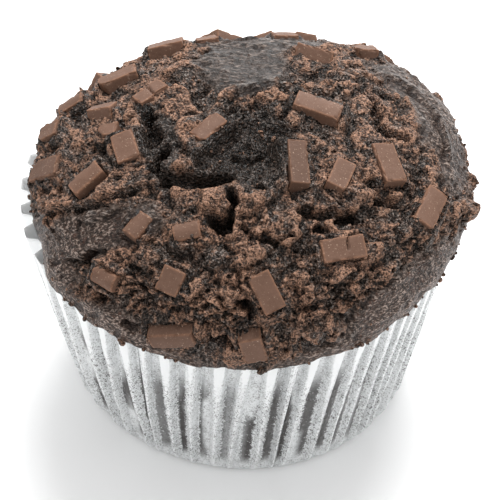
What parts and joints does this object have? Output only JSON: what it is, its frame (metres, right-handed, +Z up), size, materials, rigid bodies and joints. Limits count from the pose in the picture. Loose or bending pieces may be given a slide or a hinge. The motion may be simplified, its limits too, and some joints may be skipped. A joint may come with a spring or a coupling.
{
  "type": "chocolate chunk muffin",
  "caption": "Dark chocolate muffin with a craggy domed crown set with cut chocolate chunks, standing in its pleated paper case.",
  "frame": {"origin": "middle of the paper case's underside, on the table", "axes": "+Z up out of the crown, -Y towards the front of the picture, +X to its right"},
  "size_m": [0.0748, 0.074, 0.0617],
  "materials": {
    "cake": "dark chocolate cake: torn open crumb with smooth baked skin between, rough, a faint moist glint in the crumb",
    "chocolate": "milk chocolate cut in bars, dull satin with a fine bloom",
    "paper": "white greaseproof paper, pleated, greyed and speckled where the cake has soaked it"
  },
  "bodies": {
    "root": {"muffin": "cake", "paper_case": "paper", "chunk_01": "chocolate", "chunk_02": "chocolate", "chunk_03": "chocolate", "chunk_04": "chocolate", "chunk_05": "chocolate", "chunk_06": "chocolate", "chunk_07": "chocolate", "chunk_08": "chocolate", "chunk_09": "chocolate", "chunk_10": "chocolate", "chunk_11": "chocolate", "chunk_12": "chocolate", "chunk_13": "chocolate", "chunk_14": "chocolate", "chunk_15": "chocolate", "chunk_16": "chocolate", "chunk_17": "chocolate", "chunk_18": "chocolate", "chunk_19": "chocolate", "chunk_20": "chocolate", "chunk_21": "chocolate", "chunk_22": "chocolate", "chunk_23": "chocolate", "chunk_24": "chocolate", "chunk_25": "chocolate", "chunk_26": "chocolate", "chunk_27": "chocolate", "chunk_28": "chocolate", "chunk_29": "chocolate", "chunk_30": "chocolate", "chunk_31": "chocolate", "chunk_32": "chocolate", "chunk_33": "chocolate", "chunk_34": "chocolate", "chunk_35": "chocolate", "chunk_36": "chocolate", "chunk_37": "chocolate"}
  },
  "joints": []
}
